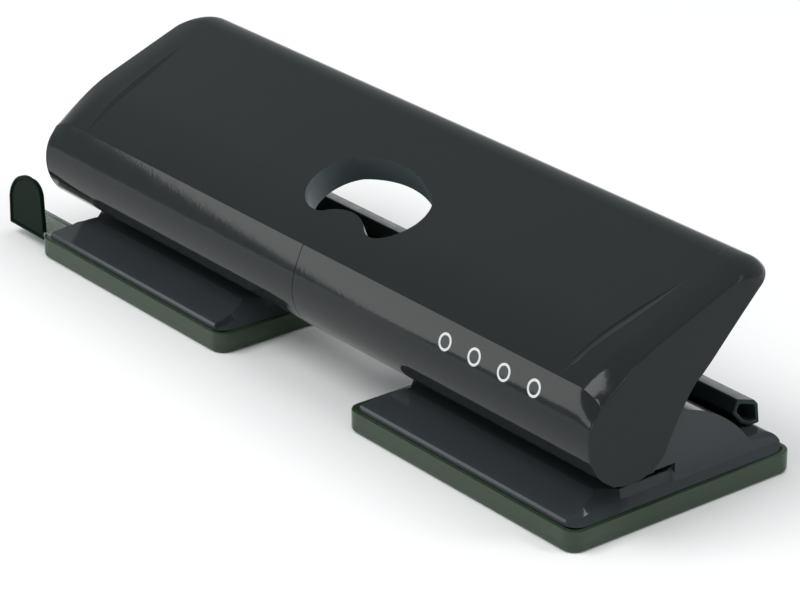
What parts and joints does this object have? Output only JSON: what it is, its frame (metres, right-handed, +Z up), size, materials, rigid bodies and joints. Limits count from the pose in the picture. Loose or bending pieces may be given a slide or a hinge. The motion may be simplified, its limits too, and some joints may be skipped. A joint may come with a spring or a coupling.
{
  "type": "hole punch",
  "caption": "Long desk hole punch for filing holes, with a lever handle over two linked punch bases, chip trays and a sliding paper guide.",
  "frame": {"origin": "centre of the footprint at the level of the rubber feet", "axes": "+X along the punch away from the paper guide's paddle, +Y towards the back where the handle is pressed, +Z up"},
  "size_m": [0.2806, 0.081, 0.0673],
  "materials": {
    "black_abs": "high-gloss injection-moulded black ABS",
    "cap_abs": "gloss black ABS end caps, a touch greyer",
    "inner_abs": "matte black moulded plastic",
    "smoked_tray": "smoked grey-green translucent styrene",
    "guide_green": "dark green smoked translucent acrylic",
    "zinc_steel": "zinc-plated sheet steel, satin",
    "hard_steel": "ground hardened tool steel",
    "spring_steel": "drawn spring wire",
    "screw_steel": "bright zinc-plated screws",
    "black_rail": "gloss black plastic channel",
    "nylon": "natural nylon",
    "foot_rubber": "soft matte rubber"
  },
  "bodies": {
    "base": {"base_cover_left": "black_abs", "base_cover_right": "black_abs", "die_plate_left": "zinc_steel", "die_plate_right": "zinc_steel", "punch_frame_left": "zinc_steel", "punch_frame_right": "zinc_steel", "frame_screws": "screw_steel", "connecting_rail": "black_rail", "rail_plugs": "nylon", "rail_screws": "screw_steel", "pivot_rod": "hard_steel", "rod_clips": "spring_steel", "guide_clip": "inner_abs", "pin_spring_1": "spring_steel", "pin_spring_2": "spring_steel", "pin_spring_3": "spring_steel", "pin_spring_4": "spring_steel"},
    "handle": {"handle_top_shell": "black_abs", "barrel_cover_left": "black_abs", "barrel_cover_right": "black_abs", "end_cap_left": "cap_abs", "end_cap_right": "cap_abs", "lever_bracket_left": "zinc_steel", "lever_bracket_right": "zinc_steel"},
    "pin_1": {"punch_pin_1": "hard_steel", "pin_collar_1": "spring_steel"},
    "pin_2": {"punch_pin_2": "hard_steel", "pin_collar_2": "spring_steel"},
    "pin_3": {"punch_pin_3": "hard_steel", "pin_collar_3": "spring_steel"},
    "pin_4": {"punch_pin_4": "hard_steel", "pin_collar_4": "spring_steel"},
    "guide": {"paper_guide": "guide_green"},
    "tray_left": {"chip_tray_left": "smoked_tray", "tray_feet_left": "foot_rubber"},
    "tray_right": {"chip_tray_right": "smoked_tray", "tray_feet_right": "foot_rubber"}
  },
  "joints": [
    {"name": "handle_press", "type": "hinge", "parent": "base", "child": "handle", "pos_m": [0, -0.028, 0.0285], "axis": [-1, 0, 0], "range_deg": [0, 19.1], "stiffness_Nm_per_rad": 2, "springref_deg": -8.59},
    {"name": "pin_1_slide", "type": "slide", "parent": "base", "child": "pin_1", "axis": [0, 0, -1], "range_m": [0, 0.00452], "deforming": ["pin_spring_1"]},
    {"name": "pin_2_slide", "type": "slide", "parent": "base", "child": "pin_2", "axis": [0, 0, -1], "range_m": [0, 0.00452], "deforming": ["pin_spring_2"]},
    {"name": "pin_3_slide", "type": "slide", "parent": "base", "child": "pin_3", "axis": [0, 0, -1], "range_m": [0, 0.00452], "deforming": ["pin_spring_3"]},
    {"name": "pin_4_slide", "type": "slide", "parent": "base", "child": "pin_4", "axis": [0, 0, -1], "range_m": [0, 0.00452], "deforming": ["pin_spring_4"]},
    {"name": "guide_slide", "type": "slide", "parent": "base", "child": "guide", "axis": [-1, 0, 0], "range_m": [0, 0.07]},
    {"name": "tray_left_drop", "type": "slide", "parent": "base", "child": "tray_left", "axis": [0, 0, -1], "range_m": [0, 0.015]},
    {"name": "tray_right_drop", "type": "slide", "parent": "base", "child": "tray_right", "axis": [0, 0, -1], "range_m": [0, 0.015]}
  ],
  "couplings": [
    {"joint": "pin_1_slide", "follows": "handle_press", "m_per_rad": 0.0135},
    {"joint": "pin_2_slide", "follows": "handle_press", "m_per_rad": 0.0135},
    {"joint": "pin_3_slide", "follows": "handle_press", "m_per_rad": 0.0135},
    {"joint": "pin_4_slide", "follows": "handle_press", "m_per_rad": 0.0135}
  ]
}
